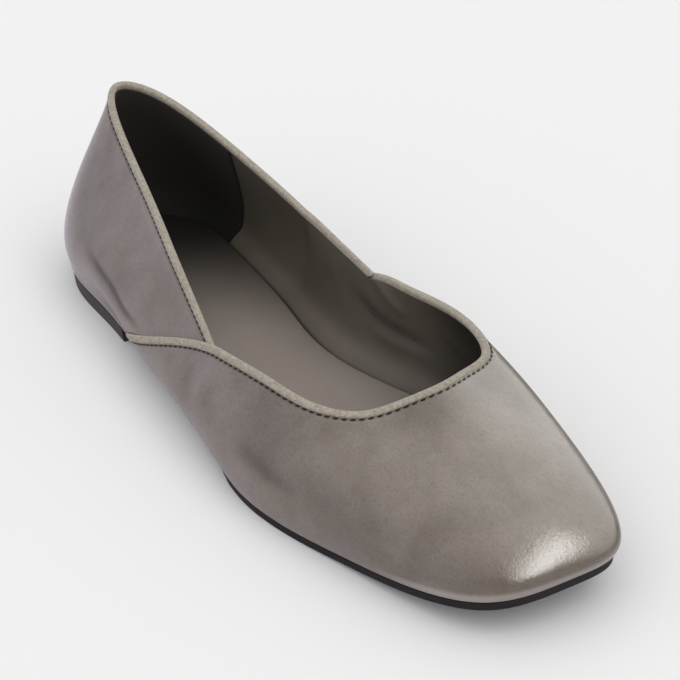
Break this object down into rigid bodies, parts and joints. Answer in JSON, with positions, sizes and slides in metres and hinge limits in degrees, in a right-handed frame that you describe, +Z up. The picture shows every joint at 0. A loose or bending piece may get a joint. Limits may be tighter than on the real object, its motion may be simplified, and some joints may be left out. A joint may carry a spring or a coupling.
{
  "type": "square toe ballet flat",
  "caption": "Square toe slip-on flat for the right foot: lined leather upper with its vamp lapped over the quarter, folded bindings, thin sole and low heel.",
  "frame": {"origin": "on the floor under the middle of the shoe's plan", "axes": "+X from heel to toe, +Y towards the big toe side, +Z up from the floor"},
  "size_m": [0.254, 0.081, 0.0619],
  "materials": {
    "glazed_leather": "taupe glazed leather with a soft gloss",
    "suede_binding": "pale beige suede",
    "sock_leather": "matt taupe lining leather",
    "sole_rubber": "charcoal moulded rubber"
  },
  "bodies": {
    "root": {"upper": "glazed_leather", "vamp_binding": "suede_binding", "collar_binding": "suede_binding", "insole": "sock_leather", "outsole": "sole_rubber", "heel": "sole_rubber"}
  },
  "joints": []
}
